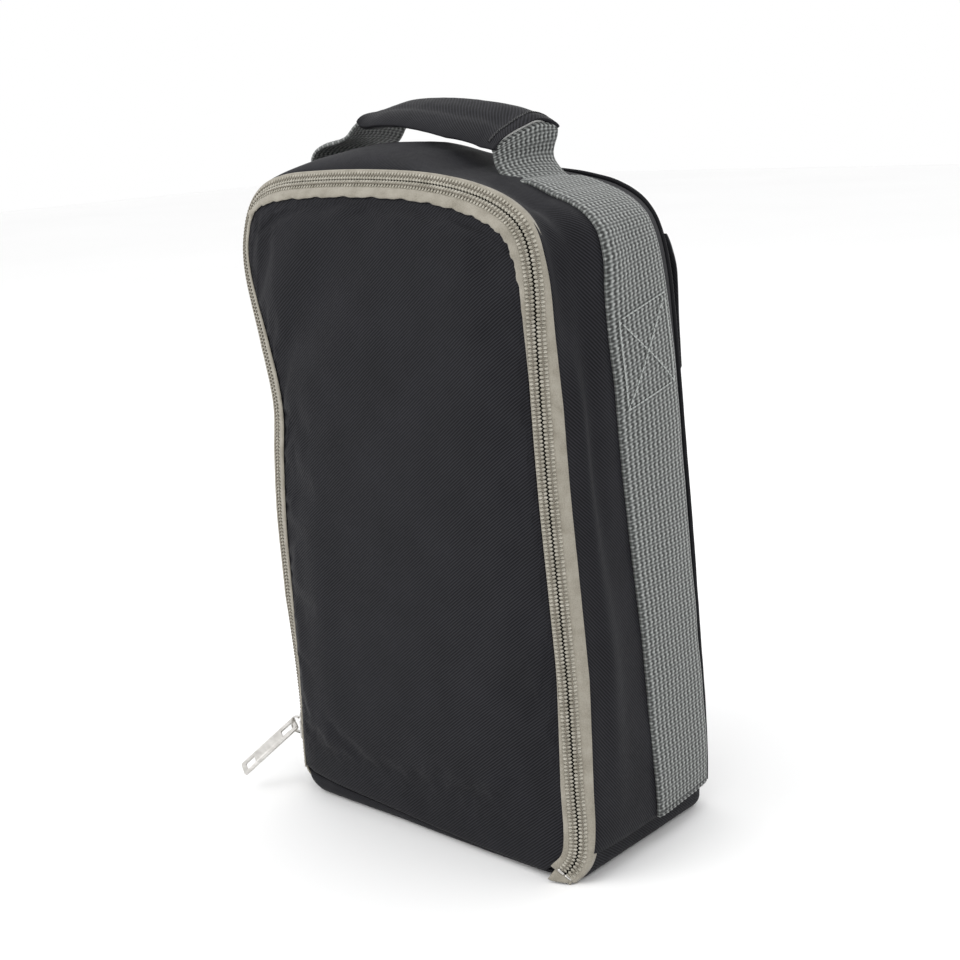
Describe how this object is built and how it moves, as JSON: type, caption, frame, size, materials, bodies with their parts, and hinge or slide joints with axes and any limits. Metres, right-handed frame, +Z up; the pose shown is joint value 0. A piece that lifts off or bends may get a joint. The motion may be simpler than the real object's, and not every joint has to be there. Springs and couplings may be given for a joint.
{
  "type": "golf shoe bag",
  "caption": "Upright zipped fabric bag for a pair of golf shoes, with a drop-down front, webbing sides, a padded carry handle and a back pocket.",
  "frame": {"origin": "middle of the underside, half way between the front panel and the back seam", "axes": "+Z up, -Y out of the zipped front, +X to the right seen from the front"},
  "size_m": [0.2325, 0.1401, 0.373],
  "materials": {
    "black_twill": "matt diagonal twill weave",
    "lining": "plain woven lining",
    "foam": "soft closed-cell foam",
    "board": "plain stiff board",
    "webbing": "coarse basket-woven webbing",
    "zip_cream": "woven tape and nylon coil",
    "nickel": "plated, softly polished",
    "thread": "bonded sewing thread",
    "touch_tape": "hook and loop pile"
  },
  "bodies": {
    "bag": {"gusset": "black_twill", "gusset_lining": "lining", "gusset_zip_tape": "zip_cream", "gusset_coil": "zip_cream", "gusset_zip_stops": "nickel", "zip_end_tabs": "zip_cream", "base_band": "black_twill", "base_board": "board", "base_lining": "lining", "back_panel": "black_twill", "back_foam": "foam", "back_lining": "lining", "back_piping": "black_twill", "seam_binding": "lining", "pocket_panel": "black_twill", "pocket_hem": "black_twill", "pocket_loop_tape": "touch_tape", "side_webbing_right": "webbing", "side_webbing_left": "webbing", "box_stitch_right": "thread", "box_stitch_left": "thread", "webbing_leg_right": "webbing", "webbing_leg_left": "webbing"},
    "front_flap": {"front_panel": "black_twill", "front_foam": "foam", "front_lining": "lining", "flap_zip_tape": "zip_cream", "flap_coil": "zip_cream", "flap_zip_stops": "nickel"},
    "pocket_flap": {"pocket_flap": "black_twill", "pocket_hook_tape": "touch_tape"},
    "handle": {"handle_webbing": "webbing", "grip_foam": "foam", "grip_sleeve": "black_twill"},
    "zip_slider": {"slider_body": "nickel", "slider_bridge": "nickel"},
    "zip_pull": {"pull_tab": "nickel"}
  },
  "joints": [
    {"name": "flap_open", "type": "hinge", "parent": "bag", "child": "front_flap", "pos_m": [0, -0.0536, 0.0078], "axis": [1, 0, 0], "range_deg": [0, 85]},
    {"name": "slider_run", "type": "slide", "parent": "bag", "child": "zip_slider", "axis": [0.0328, 0, 0.9995], "range_m": [0, 0.19]},
    {"name": "pull_swing", "type": "hinge", "parent": "zip_slider", "child": "zip_pull", "pos_m": [-0.1035, -0.04861, 0.03715], "axis": [-0.6688, 0.7431, 0.0219], "range_deg": [-25, 110]},
    {"name": "pocket_flap_lift", "type": "hinge", "parent": "bag", "child": "pocket_flap", "pos_m": [0, 0.0564, 0.299], "axis": [1, 0, 0], "range_deg": [0, 150]},
    {"name": "handle_lift", "type": "slide", "parent": "bag", "child": "handle", "axis": [0, 0, 1], "range_m": [0, 0.018], "deforming": ["webbing_leg_right", "webbing_leg_left"]}
  ]
}
